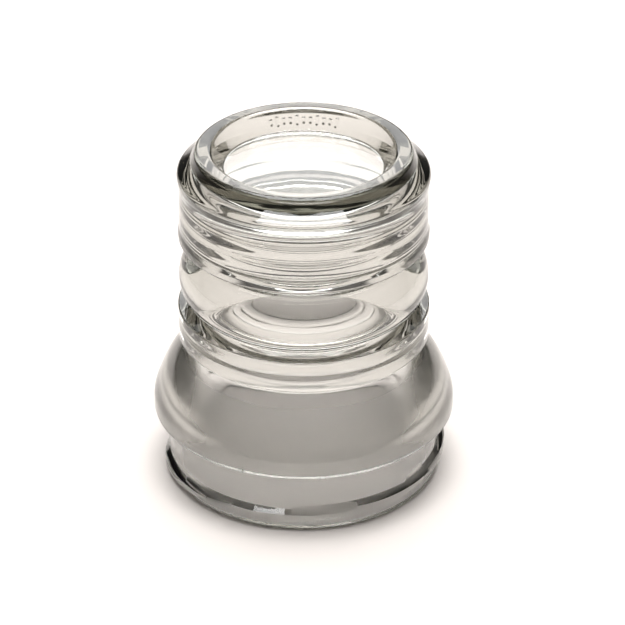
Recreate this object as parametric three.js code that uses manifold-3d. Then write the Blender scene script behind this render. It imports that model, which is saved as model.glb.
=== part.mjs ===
// Clear pressed-glass lens globe for an all-round signal light, in millimetres, +Z up.
// It is one glass casting: a threaded neck, a flange with a flared skirt, a lower prism ring,
// a bulged belt lens, an upper drum with a rolled rim, and a closed, dished crown.
// The inside is one open-bottomed cavity for the lamp. The base plane is z = 0.

import * as THREE from "three";
import { mergeVertices } from "three/addons/utils/BufferGeometryUtils.js";
import Module from "manifold-3d";

// Driving dimensions. R is a radius from the axis, Z a height above the base plane.
const AROUND = 48; // facets round the axis

const NECK_R = 34.4; // root of the thread
const NECK_TOP_Z = 12.4;
const NECK_ROWS = 13; // rings that carry the thread's shape
const BASE_EDGE_R = 1; // rounding of the bottom edge

const THREAD_HEIGHT = 1.55;
const THREAD_HALF_WIDTH = 2.1;
const THREAD_FLANK = 0.55; // share of the half width that each flank takes, with a flat crest between
const THREAD_PITCH = 7.2;
const THREAD_START_Z = 2.3;
const THREAD_START_ANGLE = THREE.MathUtils.degToRad(-200); // from +X, counter-clockwise seen from above
const THREAD_TURNS = 1;
const THREAD_RUN_OUT = 0.1; // share of a turn over which each end fades away

const FLANGE_SEAT_Z = 17; // flat ring that a gasket presses on
const FLANGE_SEAT_INNER_R = 36.1;
const FLANGE_R = 38.05;
const FLANGE_EDGE_R = 0.7;
const FLANGE_BAND_TOP_Z = 19.5;

const SKIRT_CORNER_R = 35.5; // the skirt curves as if drawn towards this corner
const SKIRT_CORNER_Z = 29;
const SKIRT_TOP_R = 30.6;
const SKIRT_TOP_Z = 34.3;
const SKIRT_STEPS = 7;

const PRISM_R = 31.4;
const PRISM_FOOT_R = 28.7;
const PRISM_FOOT_Z = 36.6;
const PRISM_LOW_Z = 38;
const PRISM_TOP_Z = 46.1;

const GROOVE_R = 26.2; // bottom of the grooves above and below the belt
const BELT_R = 31;
const BELT_LOW_Z = 46.4;
const BELT_TOP_Z = 61.9;
const BELT_STEPS = 8;

const DRUM_R = 31;
const DRUM_WAIST_R = 30.6;
const DRUM_LOW_Z = 65.1;
const DRUM_LIP_Z = 66.8; // top of the slightly prouder lip round the drum's lower edge
const SHOULDER_Z = 82;
const SHOULDER_EDGE_R = 1.65;

const RIM_Z = 88; // highest point of the globe
const RIM_OUTER_R = 26.9;
const RIM_INNER_R = 22;
const RIM_EDGE_R = 1.5;

const CROWN_R = 19.2; // flat of the dished crown
const CROWN_Z = 83.2;

const CAVITY_CEILING_Z = 79.2;
const CAVITY_CEILING_R = 20.6;
const CAVITY_TOP_R = 24.3;
const CAVITY_TOP_Z = 75.8;
const RING_DEPTH = 0.6; // how far the inside prism rings bulge into the cavity
const RING_STEPS = 5; // facets up each ring
const DRUM_RINGS = 3; // inside the drum, from the cavity's top down to here
const DRUM_RINGS_END_R = 24.4;
const DRUM_RINGS_END_Z = 62.5;
const LOWER_RINGS = 2; // inside the lower prism ring
const LOWER_RINGS_TOP_R = 24.6;
const LOWER_RINGS_TOP_Z = 45;
const LOWER_RINGS_END_R = 25.4;
const LOWER_RINGS_END_Z = 36;
const THROAT_CORNER_R = 29; // the cavity flares with the skirt, as if drawn towards this corner
const THROAT_CORNER_Z = 33.5;
const MOUTH_R = 31.2;
const MOUTH_TOP_Z = 21;

const TICK_COUNT = 11; // raised marks on the sloping wall of the crown's dish
const TICK_SPACING = THREE.MathUtils.degToRad(4.6);
const TICK_LENGTHS = [2.2, 1.5, 1.5]; // repeats along the row
const TICK_WIDTH = 0.7;
const TICK_HEIGHT = 0.3;
const TICK_SUNK = 0.6; // how deep each mark's root goes into the wall

const NIB_ANGLES = [-114, -83].map(THREE.MathUtils.degToRad); // small lugs on the flange's lower edge
const NIB_SIZE = new THREE.Vector3(1.6, 1.1, 1.5); // radial, round the edge, upright
const NIB_PROUD = 0.25;

const GLASS = new THREE.MeshStandardMaterial({
  color: 0xe9e6de,
  roughness: 0.04,
  metalness: 0,
  transparent: true,
  opacity: 0.35,
});

const point = (r, z) => new THREE.Vector2(r, z);

// Points of an arc about (r, z), both ends included, angles in degrees from the outward direction.
function arc(r, z, radius, from, to, steps) {
  const points = [];
  for (let i = 0; i <= steps; i++) {
    const angle = THREE.MathUtils.degToRad(from + ((to - from) * i) / steps);
    points.push(point(r + radius * Math.cos(angle), z + radius * Math.sin(angle)));
  }
  return points;
}

// Points of the curve that leaves one point towards a corner and arrives at another from it.
function bend(start, corner, end, steps) {
  const curve = new THREE.QuadraticBezierCurve(start, corner, end);
  return curve.getPoints(steps);
}

// A stretch of the inside wall with shallow rings that bulge into the cavity.
function prismRings(top, bottom, count) {
  const steps = RING_STEPS * count;
  const points = [];
  for (let i = 0; i <= steps; i++) {
    const along = i / steps;
    const bulge = (RING_DEPTH * (1 - Math.cos(2 * Math.PI * count * along))) / 2;
    const wall = top.clone().lerp(bottom, along);
    points.push(point(wall.x - bulge, wall.y));
  }
  return points;
}

function cavityOutline() {
  const wallTop = point(CAVITY_TOP_R, CAVITY_TOP_Z);
  const drumRingsEnd = point(DRUM_RINGS_END_R, DRUM_RINGS_END_Z);
  const lowerRingsTop = point(LOWER_RINGS_TOP_R, LOWER_RINGS_TOP_Z);
  const lowerRingsEnd = point(LOWER_RINGS_END_R, LOWER_RINGS_END_Z);
  const throatCorner = point(THROAT_CORNER_R, THROAT_CORNER_Z);
  const ceilingCorner = point(CAVITY_TOP_R - 0.3, CAVITY_CEILING_Z - 0.3);
  return [
    point(0, CAVITY_CEILING_Z),
    ...bend(point(CAVITY_CEILING_R, CAVITY_CEILING_Z), ceilingCorner, wallTop, 4),
    ...prismRings(wallTop, drumRingsEnd, DRUM_RINGS).slice(1),
    ...prismRings(lowerRingsTop, lowerRingsEnd, LOWER_RINGS),
    ...bend(lowerRingsEnd, throatCorner, point(MOUTH_R, MOUTH_TOP_Z), 5).slice(1),
    point(MOUTH_R, 0),
  ];
}

function neckOutline() {
  const edge = arc(NECK_R - BASE_EDGE_R, BASE_EDGE_R, BASE_EDGE_R, -90, 0, 3);
  const rows = [];
  for (let i = 1; i <= NECK_ROWS; i++) {
    const z = BASE_EDGE_R + ((NECK_TOP_Z - BASE_EDGE_R) * i) / NECK_ROWS;
    rows.push(point(NECK_R, z));
  }
  return [...edge, ...rows];
}

function flangeOutline() {
  const edgeCentreR = FLANGE_R - FLANGE_EDGE_R;
  const edgeCentreZ = FLANGE_SEAT_Z + FLANGE_EDGE_R;
  return [
    point(NECK_R + 0.1, FLANGE_SEAT_Z - 1.2),
    point(FLANGE_SEAT_INNER_R - 0.8, FLANGE_SEAT_Z),
    point(FLANGE_SEAT_INNER_R, FLANGE_SEAT_Z),
    ...arc(edgeCentreR, edgeCentreZ, FLANGE_EDGE_R, -90, 0, 4),
    point(FLANGE_R - 0.05, FLANGE_BAND_TOP_Z),
  ];
}

function skirtOutline() {
  const start = point(FLANGE_R - 0.2, FLANGE_BAND_TOP_Z + 1.5);
  const corner = point(SKIRT_CORNER_R, SKIRT_CORNER_Z);
  const end = point(SKIRT_TOP_R, SKIRT_TOP_Z);
  return bend(start, corner, end, SKIRT_STEPS);
}

function lowerPrismOutline() {
  return [
    point(PRISM_FOOT_R, PRISM_FOOT_Z),
    point(PRISM_R, PRISM_LOW_Z),
    point(PRISM_R - 0.05, PRISM_TOP_Z - 0.5),
    point(PRISM_R - 0.5, PRISM_TOP_Z),
    point(GROOVE_R + 0.3, BELT_LOW_Z - 0.15),
  ];
}

// The belt bulges as one shallow arc, thickest at its mid height.
function beltOutline() {
  const half = (BELT_TOP_Z - BELT_LOW_Z) / 2;
  const bulge = BELT_R - GROOVE_R;
  const radius = (half * half + bulge * bulge) / (2 * bulge);
  const sweep = THREE.MathUtils.radToDeg(Math.asin(half / radius));
  return arc(BELT_R - radius, BELT_LOW_Z + half, radius, -sweep, sweep, BELT_STEPS);
}

function drumOutline() {
  return [
    point(DRUM_R - 0.4, DRUM_LOW_Z),
    point(DRUM_R, DRUM_LOW_Z + 0.5),
    point(DRUM_R, DRUM_LIP_Z),
    point(DRUM_WAIST_R + 0.1, DRUM_LIP_Z + 1.1),
    point(DRUM_WAIST_R, SHOULDER_Z - 3.7),
    ...arc(DRUM_R - SHOULDER_EDGE_R, SHOULDER_Z - 0.4, SHOULDER_EDGE_R, -20, 60, 5),
  ];
}

function rimOutline() {
  const centreZ = RIM_Z - RIM_EDGE_R;
  return [
    point(RIM_OUTER_R + 0.7, RIM_Z - 2.8),
    ...arc(RIM_OUTER_R - RIM_EDGE_R, centreZ, RIM_EDGE_R, 15, 90, 4),
    ...arc(RIM_INNER_R + RIM_EDGE_R, centreZ, RIM_EDGE_R, 90, 150, 3),
  ];
}

function crownOutline() {
  return [
    point(CROWN_R + 0.5, CROWN_Z + 0.25),
    point(CROWN_R - 0.3, CROWN_Z),
    point(0, CROWN_Z),
  ];
}

// How far the thread's ridge stands out at an angle and height on the neck.
function threadRise(angle, z) {
  const fullTurn = 2 * Math.PI;
  const since = (angle - THREAD_START_ANGLE) / fullTurn;
  const turn = since - Math.floor(since);
  let rise = 0;
  for (let t = turn; t <= THREAD_TURNS; t++) {
    const off = Math.abs(z - THREAD_START_Z - THREAD_PITCH * t) / THREAD_HALF_WIDTH;
    const ridge = THREE.MathUtils.smoothstep(1 - off, 0, THREAD_FLANK);
    const fadeIn = THREE.MathUtils.smoothstep(t, 0, THREAD_RUN_OUT);
    const fadeOut = THREE.MathUtils.smoothstep(THREAD_TURNS - t, 0, THREAD_RUN_OUT);
    rise = Math.max(rise, ridge * fadeIn * fadeOut);
  }
  return THREAD_HEIGHT * rise;
}

// Pushes the neck's outer wall out along the thread.
function addThread(geometry) {
  const position = geometry.getAttribute("position");
  const vertex = new THREE.Vector3();
  for (let i = 0; i < position.count; i++) {
    vertex.fromBufferAttribute(position, i);
    const r = Math.hypot(vertex.x, vertex.y);
    const onNeck = r > NECK_R - 0.01 && vertex.z < NECK_TOP_Z;
    if (!onNeck) continue;
    const grown = 1 + threadRise(Math.atan2(vertex.y, vertex.x), vertex.z) / r;
    position.setXY(i, vertex.x * grown, vertex.y * grown);
  }
}

function merged(geometry) {
  const bare = geometry.clone();
  bare.deleteAttribute("normal");
  bare.deleteAttribute("uv");
  return mergeVertices(bare, 1e-4);
}

function casting() {
  const outline = [
    ...cavityOutline(),
    ...neckOutline(),
    ...flangeOutline(),
    ...skirtOutline(),
    ...lowerPrismOutline(),
    ...beltOutline(),
    ...drumOutline(),
    ...rimOutline(),
    ...crownOutline(),
  ];
  const lathe = new THREE.LatheGeometry(outline, AROUND);
  lathe.rotateX(Math.PI / 2);
  const geometry = merged(lathe);
  addThread(geometry);
  return geometry;
}

// A row of raised ticks on the dish's sloping wall, centred at the back (+Y).
function ticks() {
  const rimFoot = point(RIM_INNER_R + 0.2, RIM_Z - 0.75);
  const dishEdge = point(CROWN_R + 0.5, CROWN_Z + 0.25);
  const middle = rimFoot.clone().add(dishEdge).multiplyScalar(0.5);
  const tilt = Math.atan2(rimFoot.y - dishEdge.y, rimFoot.x - dishEdge.x);
  const made = [];
  for (let i = 0; i < TICK_COUNT; i++) {
    const length = TICK_LENGTHS[i % TICK_LENGTHS.length];
    const tick = new THREE.BoxGeometry(length, TICK_WIDTH, TICK_HEIGHT + TICK_SUNK);
    tick.translate(0, 0, (TICK_HEIGHT - TICK_SUNK) / 2);
    tick.rotateY(-tilt);
    tick.translate(middle.x, 0, middle.y);
    tick.rotateZ(Math.PI / 2 + (i - (TICK_COUNT - 1) / 2) * TICK_SPACING);
    made.push(tick);
  }
  return made;
}

function nibs() {
  return NIB_ANGLES.map((angle) => {
    const nib = new THREE.BoxGeometry(NIB_SIZE.x, NIB_SIZE.y, NIB_SIZE.z);
    nib.translate(FLANGE_R + NIB_PROUD - NIB_SIZE.x / 2, 0, FLANGE_SEAT_Z + 0.3 + NIB_SIZE.z / 2);
    nib.rotateZ(angle);
    return nib;
  });
}

const wasm = await Module();
wasm.setup();

function solid(geometry) {
  const mesh = merged(geometry);
  return new wasm.Manifold(
    new wasm.Mesh({
      numProp: 3,
      vertProperties: mesh.getAttribute("position").array,
      triVerts: new Uint32Array(mesh.index.array),
    }),
  );
}

function geometryOf(manifold) {
  const mesh = manifold.getMesh();
  const geometry = new THREE.BufferGeometry();
  geometry.setAttribute("position", new THREE.BufferAttribute(mesh.vertProperties, 3));
  geometry.setIndex(new THREE.BufferAttribute(mesh.triVerts, 1));
  geometry.computeVertexNormals();
  return geometry;
}

const globe = [...ticks(), ...nibs()].reduce(
  (whole, piece) => whole.add(solid(piece)),
  solid(casting()),
);

const lensGlobe = new THREE.Mesh(geometryOf(globe), GLASS);
lensGlobe.name = "lens_globe";

const part = new THREE.Group();
part.add(lensGlobe);

export default part;
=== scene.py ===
"""Clear pressed-glass lens globe for an all-round signal light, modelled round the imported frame.

The globe is one glass casting, so one fine watertight mesh replaces the one CAD node. Its outline
is turned round the axis, and the thread, the lugs and the ticks are pushed out of the turned wall.
Lengths named in the outline are millimetres, and everything given to Blender is in metres.
"""

import math

import bmesh
import bpy
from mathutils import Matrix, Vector


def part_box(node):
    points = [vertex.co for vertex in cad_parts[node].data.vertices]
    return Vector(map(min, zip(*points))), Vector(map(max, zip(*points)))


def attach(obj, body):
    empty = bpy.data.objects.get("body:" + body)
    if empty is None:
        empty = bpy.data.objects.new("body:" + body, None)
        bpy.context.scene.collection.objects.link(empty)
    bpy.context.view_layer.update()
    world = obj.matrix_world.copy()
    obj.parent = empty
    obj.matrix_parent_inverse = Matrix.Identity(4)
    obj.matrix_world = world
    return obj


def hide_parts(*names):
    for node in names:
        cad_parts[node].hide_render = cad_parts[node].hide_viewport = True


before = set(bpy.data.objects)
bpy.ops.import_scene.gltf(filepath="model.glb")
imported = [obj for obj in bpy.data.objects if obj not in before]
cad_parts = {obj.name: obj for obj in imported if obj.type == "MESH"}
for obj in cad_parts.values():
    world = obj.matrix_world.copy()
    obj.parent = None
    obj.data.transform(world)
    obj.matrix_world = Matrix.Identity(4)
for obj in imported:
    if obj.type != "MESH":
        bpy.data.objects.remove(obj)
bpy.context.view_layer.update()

MM = 0.001
NODE = "lens_globe"
_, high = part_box(NODE)

# Driving dimensions. R is a radius from the axis, Z a height above the base plane.
RIM_Z = high[2] / MM  # highest point of the globe
FLANGE_R = high[0] / MM

NECK_R = 34.4  # root of the thread
BASE_EDGE_R = 1.0

THREAD_HEIGHT = 1.55
THREAD_HALF_WIDTH = 2.1
THREAD_FLANK = 0.55  # share of the half width that each flank takes
THREAD_PITCH = 7.2
THREAD_START_Z = 2.3
THREAD_START_ANGLE = math.radians(-200)
THREAD_RUN_OUT = 0.1  # share of a turn over which each end fades away
THREAD_TOP_Z = 13.0

SEAT_Z = 17.0  # flat ring that a gasket presses on
SEAT_INNER_R = 36.1
SEAT_COVE = (0.8, 1.2)  # how far in and how far down the neck's wall turns out into the seat
FLANGE_EDGE_R = 0.7
FLANGE_BAND = 2.5  # height of the flange's upright edge

SKIRT_FOOT = (FLANGE_R - 0.2, SEAT_Z + 4)
SKIRT_CORNER = (35.5, 29.0)
SKIRT_TOP = (30.6, 34.3)

PRISM_R = 31.4
PRISM_FOOT = (28.7, 36.5)
PRISM_LOW_Z = 38.0
PRISM_TOP_Z = 46.1

GROOVE_R = 26.2  # bottom of the grooves above and below the belt
BELT_R = 31.0
BELT_LOW_Z = 46.4
BELT_TOP_Z = 61.9

DRUM_R = 31.0
DRUM_WAIST_R = 30.6
DRUM_LOW_Z = 65.1
DRUM_LIP_Z = 66.8
DRUM_LIP_STEP = 1.1  # the lip falls back to the waist over this height
WAIST_TOP_Z = 78.3  # the waist swells out to the shoulder above this
SHOULDER_R = 1.65
SHOULDER_Z = 81.6  # centre of the shoulder's rounding

RIM_OUTER_R = 26.9
RIM_INNER_R = 22.0
RIM_EDGE_R = 1.5
RIM_FOOT = (RIM_OUTER_R + 0.7, RIM_Z - 2.8)
CROWN_R = 19.2
CROWN_Z = 83.2

CAVITY_CEILING_Z = 79.2
CAVITY_CEILING_R = 20.6
CAVITY_TOP_R = 24.3
CAVITY_TOP_Z = 75.8
CAVITY_WAIST = (24.6, 45.0)
RING_DEPTH = 0.6
RING_STEPS = 10  # points down each ring
DRUM_RINGS = 3
DRUM_RINGS_END = (24.4, 62.5)
LOWER_RINGS = 2
LOWER_RINGS_END = (25.4, 36.0)
THROAT_CORNER = (29.0, 33.5)
THROAT = (31.2, 21.0)
MOUTH_R = 31.2

TICK_COUNT = 11
TICK_SPACING = math.radians(4.6)
TICK_LENGTHS = (2.2, 1.5, 1.5)  # repeats along the row
TICK_WIDTH = 0.9
TICK_HEIGHT = 0.6
TICK_SOFT = 0.5  # width over which a tick's side falls away
TICKS_AT = math.radians(90)
TICK_DIRECTION = (-0.8, 0.6)  # out of the dish's sloping wall: inwards and up
WALL_PER_HEIGHT = 1.2  # length along the sloping wall for each unit of height

NIB_ANGLES = (math.radians(-114), math.radians(-83))
NIB_WIDTH = 1.1
NIB_HEIGHT = 1.5
NIB_PROUD = 0.25

COARSE_STEP = math.radians(0.75)
FINE_STEP = math.radians(0.2)
FINE_SECTORS = [(TICKS_AT, math.radians(27))] + [(angle, math.radians(2)) for angle in NIB_ANGLES]
LONGEST_EDGE = 1.1  # the wall is cut into rings no further apart than this
DISH_EDGE = 0.5  # and closer together on the dish's sloping wall, which carries the ticks

# The inside of the skirt and neck has a light haze, up to the foot of the prism ring.
HAZE_FULL_Z = 30.0
HAZE_END_Z = 35.0
HAZE_R = 31.8  # the hazy wall is nearer the axis than this
HAZE_ROUGHNESS = 0.3

GLASS_IOR = 1.5
GLASS_TINT = (0.56, 0.555, 0.51, 1)
GLASS_TINT_DENSITY = 88
RIPPLE_SCALE = 90
RIPPLE_STRENGTH = 0.05
SMEAR_SCALE = 45
SMEAR_ROUGHNESS = 0.06

FLOOR_COLOUR = (0.74, 0.695, 0.665, 1)
FLOOR_RADIUS = 3
WORLD_COLOUR = (0.08, 0.077, 0.072, 1)
LIGHTS_AIM = (0, 0, 0.04)


# ---------------------------------------------------------------- outline

def arc(r, z, radius, start, end, steps):
    """Points of an arc about (r, z), angles in degrees from the outward direction."""
    angles = [math.radians(start + (end - start) * i / steps) for i in range(steps + 1)]
    return [(r + radius * math.cos(a), z + radius * math.sin(a)) for a in angles]


def bend(start, corner, end, steps):
    """Points of the curve that leaves start towards corner and arrives at end from it."""
    points = []
    for i in range(steps + 1):
        t = i / steps
        weights = ((1 - t) ** 2, 2 * t * (1 - t), t * t)
        points.append(tuple(
            sum(w * p[axis] for w, p in zip(weights, (start, corner, end))) for axis in (0, 1)
        ))
    return points


def fillet(before, corner, after, radius, steps=4):
    """The corner rounded to about the radius, kept within the two sides that meet there."""
    b, c, a = Vector(before), Vector(corner), Vector(after)
    incoming, outgoing = (b - c), (a - c)
    half = incoming.angle(outgoing) / 2
    reach = min(radius / math.tan(half), 0.45 * incoming.length, 0.45 * outgoing.length)
    start = c + incoming.normalized() * reach
    end = c + outgoing.normalized() * reach
    return bend(tuple(start), tuple(c), tuple(end), steps)


def rounded(corners):
    """An outline given as (r, z, edge radius), with each named edge rounded."""
    points = []
    for i, (r, z, radius) in enumerate(corners):
        if radius == 0 or i in (0, len(corners) - 1):
            points.append((r, z))
        else:
            points += fillet(corners[i - 1][:2], (r, z), corners[i + 1][:2], radius)
    return points


def sharp(points):
    return [(r, z, 0) for r, z in points]


def prism_rings(top, bottom, count):
    """A stretch of the inside wall with shallow rings that bulge into the cavity."""
    steps = RING_STEPS * count
    points = []
    for i in range(steps + 1):
        t = i / steps
        bulge = RING_DEPTH * (1 - math.cos(2 * math.pi * count * t)) / 2
        r = top[0] + (bottom[0] - top[0]) * t - bulge
        z = top[1] + (bottom[1] - top[1]) * t
        points.append((r, z))
    return points


def cavity_outline():
    ceiling_edge = (CAVITY_CEILING_R, CAVITY_CEILING_Z)
    wall_top = (CAVITY_TOP_R, CAVITY_TOP_Z)
    return [
        (0, CAVITY_CEILING_Z, 0),
        *sharp(bend(ceiling_edge, (CAVITY_TOP_R - 0.3, CAVITY_CEILING_Z - 0.3), wall_top, 10)),
        *sharp(prism_rings(wall_top, DRUM_RINGS_END, DRUM_RINGS)[1:]),
        *sharp(prism_rings(CAVITY_WAIST, LOWER_RINGS_END, LOWER_RINGS)),
        *sharp(bend(LOWER_RINGS_END, THROAT_CORNER, THROAT, 12)[1:]),
        (MOUTH_R, 0, 0.6),
    ]


def neck_outline():
    return [
        *sharp(arc(NECK_R - BASE_EDGE_R, BASE_EDGE_R, BASE_EDGE_R, -90, 0, 6)),
        (NECK_R, SEAT_Z - SEAT_COVE[1], 0.8),
        (SEAT_INNER_R - SEAT_COVE[0], SEAT_Z, 0.5),
        (SEAT_INNER_R, SEAT_Z, 0),
    ]


def flange_outline():
    edge = arc(FLANGE_R - FLANGE_EDGE_R, SEAT_Z + FLANGE_EDGE_R, FLANGE_EDGE_R, -90, 0, 6)
    return sharp(edge) + [(FLANGE_R - 0.05, SEAT_Z + FLANGE_BAND, 0.8)]


def skirt_outline():
    return sharp(bend(SKIRT_FOOT, SKIRT_CORNER, SKIRT_TOP, 22))


def prism_outline():
    return [
        (*PRISM_FOOT, 0.5),
        (PRISM_R, PRISM_LOW_Z, 0.5),
        (PRISM_R - 0.05, PRISM_TOP_Z, 0.5),
        (GROOVE_R + 0.1, BELT_LOW_Z - 0.1, 0.2),
    ]


def belt_outline():
    half = (BELT_TOP_Z - BELT_LOW_Z) / 2
    bulge = BELT_R - GROOVE_R
    radius = (half * half + bulge * bulge) / (2 * bulge)
    sweep = math.degrees(math.asin(half / radius))
    return sharp(arc(BELT_R - radius, BELT_LOW_Z + half, radius, -sweep, sweep, 26))


def drum_outline():
    shoulder = arc(DRUM_R - SHOULDER_R, SHOULDER_Z, SHOULDER_R, -20, 60, 8)
    return [
        (DRUM_R, DRUM_LOW_Z, 0.7),
        (DRUM_R, DRUM_LIP_Z, 0.8),
        (DRUM_WAIST_R + 0.1, DRUM_LIP_Z + DRUM_LIP_STEP, 0.8),
        (DRUM_WAIST_R, WAIST_TOP_Z, 1.5),
        *sharp(shoulder),
    ]


def rim_outline():
    centre_z = RIM_Z - RIM_EDGE_R
    return [
        (*RIM_FOOT, 0.8),
        *sharp(arc(RIM_OUTER_R - RIM_EDGE_R, centre_z, RIM_EDGE_R, 15, 90, 8)),
        *sharp(arc(RIM_INNER_R + RIM_EDGE_R, centre_z, RIM_EDGE_R, 90, 150, 7)),
    ]


def crown_outline():
    return [(CROWN_R + 0.3, CROWN_Z, 0.6), (0, CROWN_Z, 0)]


def longest_edge(r, z):
    on_dish = CROWN_R < r < RIM_INNER_R + 0.6 and z > CROWN_Z
    return DISH_EDGE if on_dish else LONGEST_EDGE


def subdivided(points):
    """The outline with its long straight stretches cut into shorter ones."""
    cut = [points[0]]
    for start, end in zip(points, points[1:]):
        length = math.dist(start, end)
        if length < 1e-6:
            continue
        pieces = math.ceil(length / longest_edge(*start))
        for i in range(1, pieces + 1):
            t = i / pieces
            cut.append((start[0] + (end[0] - start[0]) * t, start[1] + (end[1] - start[1]) * t))
    return cut


def outline():
    corners = [
        *cavity_outline(),
        *neck_outline(),
        *flange_outline(),
        *skirt_outline(),
        *prism_outline(),
        *belt_outline(),
        *drum_outline(),
        *rim_outline(),
        *crown_outline(),
    ]
    return subdivided(rounded(corners))


# ---------------------------------------------------------------- what stands out of the wall

def smoothstep(x):
    x = min(1, max(0, x))
    return x * x * (3 - 2 * x)


def angle_between(a, b):
    return abs((a - b + math.pi) % (2 * math.pi) - math.pi)


def plateau(distance, half_width, soft):
    """1 within the half width, falling smoothly to 0 over the soft edge outside it."""
    return 1 - smoothstep((distance - half_width) / soft)


def thread_rise(angle, z):
    turn = ((angle - THREAD_START_ANGLE) / (2 * math.pi)) % 1
    off = abs(z - THREAD_START_Z - THREAD_PITCH * turn) / THREAD_HALF_WIDTH
    ridge = smoothstep((1 - off) / THREAD_FLANK)
    fade = smoothstep(turn / THREAD_RUN_OUT) * smoothstep((1 - turn) / THREAD_RUN_OUT)
    return THREAD_HEIGHT * ridge * fade


def nib_rise(angle, z):
    upright = plateau(abs(z - SEAT_Z - 0.3 - NIB_HEIGHT / 2), NIB_HEIGHT / 2, 0.3)
    nearest = min(angle_between(angle, at) for at in NIB_ANGLES)
    return NIB_PROUD * upright * plateau(nearest * FLANGE_R, NIB_WIDTH / 2, 0.3)


def tick_rise(angle, r, z):
    """How far a tick on the dish's sloping wall stands up from it."""
    place = (angle - TICKS_AT) / TICK_SPACING + (TICK_COUNT - 1) / 2
    index = round(place)
    if not 0 <= index < TICK_COUNT:
        return 0
    across = abs(place - index) * TICK_SPACING * r
    middle_z = (CROWN_Z + RIM_Z - 0.5) / 2
    length = TICK_LENGTHS[index % len(TICK_LENGTHS)]
    along = abs(z - middle_z) * WALL_PER_HEIGHT
    side = plateau(across, (TICK_WIDTH - TICK_SOFT) / 2, TICK_SOFT)
    return TICK_HEIGHT * side * plateau(along, length / 2 - 0.1, 0.3)


def displaced(angle, r, z):
    """The wall's point at an angle, with the thread, lugs and ticks pushed out of it."""
    on_neck = r > NECK_R - 0.01 and BASE_EDGE_R <= z < THREAD_TOP_Z
    on_flange = r > FLANGE_R - FLANGE_EDGE_R and z < SEAT_Z + NIB_HEIGHT + 1
    in_dish = CROWN_R < r < RIM_INNER_R + 0.6 and z > CROWN_Z + 0.05
    if on_neck:
        r += thread_rise(angle, z)
    elif on_flange:
        r += nib_rise(angle, z)
    elif in_dish:
        rise = tick_rise(angle, r, z)
        r += TICK_DIRECTION[0] * rise
        z += TICK_DIRECTION[1] * rise
    return Vector((r * math.cos(angle), r * math.sin(angle), z)) * MM


# ---------------------------------------------------------------- mesh

def angles():
    """Angles once round the axis, closer together where small marks need it."""
    steps = []
    angle = 0.0
    while angle < 2 * math.pi - 1e-6:
        steps.append(angle)
        fine = any(angle_between(angle + COARSE_STEP / 2, at) < half for at, half in FINE_SECTORS)
        angle += FINE_STEP if fine else COARSE_STEP
    return steps


def turned_mesh(name, points):
    """A closed mesh turned from an outline that starts and ends on the axis."""
    round_angles = angles()
    count = len(round_angles)
    mesh_builder = bmesh.new()
    rings = []
    for r, z in points:
        if r < 1e-6:
            rings.append([mesh_builder.verts.new((0, 0, z * MM))])
        else:
            rings.append([mesh_builder.verts.new(displaced(a, r, z)) for a in round_angles])
    for inner, outer in zip(rings, rings[1:]):
        for i in range(count):
            j = (i + 1) % count
            if len(inner) == 1:
                corners = (inner[0], outer[j], outer[i])
            elif len(outer) == 1:
                corners = (inner[i], inner[j], outer[0])
            else:
                corners = (inner[i], inner[j], outer[j], outer[i])
            mesh_builder.faces.new(corners).smooth = True
    bmesh.ops.recalc_face_normals(mesh_builder, faces=mesh_builder.faces)
    mesh = bpy.data.meshes.new(name)
    mesh_builder.to_mesh(mesh)
    mesh_builder.free()
    mesh.set_sharp_from_angle(angle=math.radians(35))
    return mesh


# ---------------------------------------------------------------- glass

def inside_haze(nodes, links, point):
    """Roughness of the inside of the skirt and neck, and 0 on the rest of the glass."""
    apart = nodes.new("ShaderNodeSeparateXYZ")
    links.new(point, apart.inputs["Vector"])
    by_height = nodes.new("ShaderNodeMapRange")
    by_height.interpolation_type = "SMOOTHSTEP"
    by_height.inputs["From Min"].default_value = HAZE_END_Z * MM
    by_height.inputs["From Max"].default_value = HAZE_FULL_Z * MM
    by_height.inputs["To Min"].default_value = 0
    by_height.inputs["To Max"].default_value = HAZE_ROUGHNESS
    links.new(apart.outputs["Z"], by_height.inputs["Value"])

    level = nodes.new("ShaderNodeVectorMath")
    level.operation = "MULTIPLY"
    level.inputs[1].default_value = (1, 1, 0)
    links.new(point, level.inputs[0])
    from_axis = nodes.new("ShaderNodeVectorMath")
    from_axis.operation = "LENGTH"
    links.new(level.outputs["Vector"], from_axis.inputs[0])
    inside = nodes.new("ShaderNodeMath")
    inside.operation = "LESS_THAN"
    inside.inputs[1].default_value = HAZE_R * MM
    links.new(from_axis.outputs["Value"], inside.inputs[0])

    haze = nodes.new("ShaderNodeMath")
    haze.operation = "MULTIPLY"
    links.new(by_height.outputs["Result"], haze.inputs[0])
    links.new(inside.outputs["Value"], haze.inputs[1])
    return haze.outputs["Value"]


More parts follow.
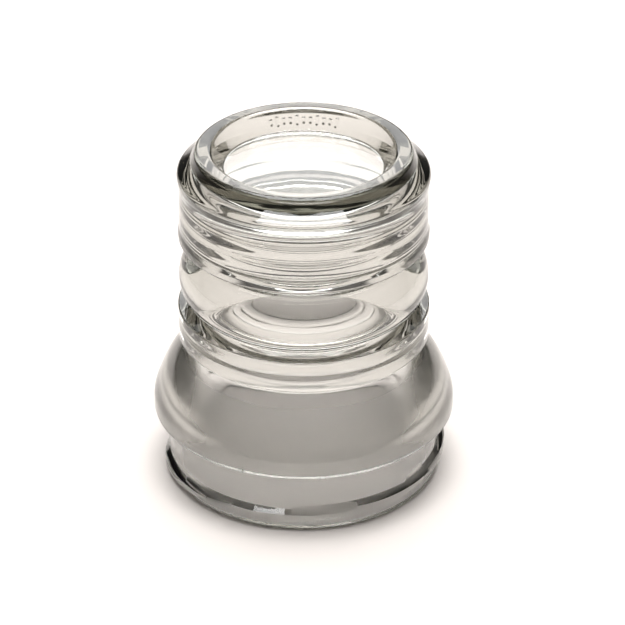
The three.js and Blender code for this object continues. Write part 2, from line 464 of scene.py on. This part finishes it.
def glass_material():
    """Clear pressed glass: a little grey in its depth, with faint ripples, smears and haze."""
    material = bpy.data.materials.new("clear_pressed_glass")
    material.use_nodes = True
    nodes, links = material.node_tree.nodes, material.node_tree.links
    glass = nodes["Principled BSDF"]
    glass.inputs["Base Color"].default_value = (1, 1, 1, 1)
    glass.inputs["IOR"].default_value = GLASS_IOR
    glass.inputs["Transmission Weight"].default_value = 1

    depth = nodes.new("ShaderNodeVolumeAbsorption")
    depth.inputs["Color"].default_value = GLASS_TINT
    depth.inputs["Density"].default_value = GLASS_TINT_DENSITY
    links.new(depth.outputs["Volume"], nodes["Material Output"].inputs["Volume"])

    place = nodes.new("ShaderNodeTexCoord")

    ripple = nodes.new("ShaderNodeTexNoise")
    ripple.inputs["Scale"].default_value = RIPPLE_SCALE
    ripple.inputs["Detail"].default_value = 2
    links.new(place.outputs["Object"], ripple.inputs["Vector"])

    smears = nodes.new("ShaderNodeTexNoise")
    smears.inputs["Scale"].default_value = SMEAR_SCALE
    smears.inputs["Detail"].default_value = 5
    links.new(place.outputs["Object"], smears.inputs["Vector"])

    roughness = nodes.new("ShaderNodeMapRange")
    roughness.inputs["From Min"].default_value = 0.45
    roughness.inputs["From Max"].default_value = 0.8
    roughness.inputs["To Min"].default_value = 0.0
    roughness.inputs["To Max"].default_value = SMEAR_ROUGHNESS
    links.new(smears.outputs["Fac"], roughness.inputs["Value"])
    haze = inside_haze(nodes, links, place.outputs["Object"])
    combined = nodes.new("ShaderNodeMath")
    combined.operation = "ADD"
    links.new(roughness.outputs["Result"], combined.inputs[0])
    links.new(haze, combined.inputs[1])
    links.new(combined.outputs["Value"], glass.inputs["Roughness"])

    bump = nodes.new("ShaderNodeBump")
    bump.inputs["Strength"].default_value = RIPPLE_STRENGTH
    bump.inputs["Distance"].default_value = MM
    links.new(ripple.outputs["Fac"], bump.inputs["Height"])
    links.new(bump.outputs["Normal"], glass.inputs["Normal"])
    return material


def lens_globe():
    globe = bpy.data.objects.new("globe_glass", turned_mesh("globe_glass", outline()))
    bpy.context.scene.collection.objects.link(globe)
    globe.data.materials.append(glass_material())
    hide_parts(NODE)
    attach(globe, "root")


# ---------------------------------------------------------------- stage, lights and camera

def floor():
    mesh_builder = bmesh.new()
    bmesh.ops.create_circle(mesh_builder, cap_ends=True, segments=64, radius=FLOOR_RADIUS)
    mesh = bpy.data.meshes.new("floor")
    mesh_builder.to_mesh(mesh)
    mesh_builder.free()
    piece = bpy.data.objects.new("floor", mesh)
    bpy.context.scene.collection.objects.link(piece)
    material = bpy.data.materials.new("pale_floor")
    material.use_nodes = True
    surface = material.node_tree.nodes["Principled BSDF"]
    surface.inputs["Base Color"].default_value = FLOOR_COLOUR
    surface.inputs["Roughness"].default_value = 1
    surface.inputs["Specular IOR Level"].default_value = 0
    mesh.materials.append(material)


def soft_light(name, place, size, power):
    light = bpy.data.lights.new(name, "AREA")
    light.shape = "RECTANGLE"
    light.size, light.size_y = size
    light.energy = power
    lamp = bpy.data.objects.new(name, light)
    bpy.context.scene.collection.objects.link(lamp)
    lamp.location = place
    lamp.rotation_mode = "QUATERNION"
    lamp.rotation_quaternion = (Vector(LIGHTS_AIM) - Vector(place)).to_track_quat("-Z", "Y")


def lights():
    soft_light("overhead", (0, 0.05, 0.8), (0.7, 0.7), 14)
    soft_light("behind", (0, 0.75, 0.45), (0.7, 0.35), 2.3)
    world = bpy.data.worlds.new("dim_studio")
    world.use_nodes = True
    world.node_tree.nodes["Background"].inputs["Color"].default_value = WORLD_COLOUR
    bpy.context.scene.world = world


def camera():
    elevation = math.radians(30)
    distance = 0.7
    aim_z = 0.04375
    frame_width = 0.15625  # how much the picture takes in at that distance
    data = bpy.data.cameras.new("camera")
    data.sensor_width = 36
    data.lens = data.sensor_width * distance / frame_width
    data.shift_x = 0.014
    data.shift_y = -0.009
    piece = bpy.data.objects.new("camera", data)
    bpy.context.scene.collection.objects.link(piece)
    away = Vector((0, -math.cos(elevation), math.sin(elevation)))
    piece.location = Vector((0, 0, aim_z)) + away * distance
    piece.rotation_mode = "QUATERNION"
    piece.rotation_quaternion = (-away).to_track_quat("-Z", "Y")
    bpy.context.scene.camera = piece


def light_paths():
    """Enough bounces for light that crosses the thick glass many times."""
    scene = bpy.context.scene
    scene.view_settings.view_transform = "Standard"
    scene.cycles.max_bounces = 24
    scene.cycles.transmission_bounces = 24
    scene.cycles.glossy_bounces = 8


lens_globe()
floor()
lights()
camera()
light_paths()
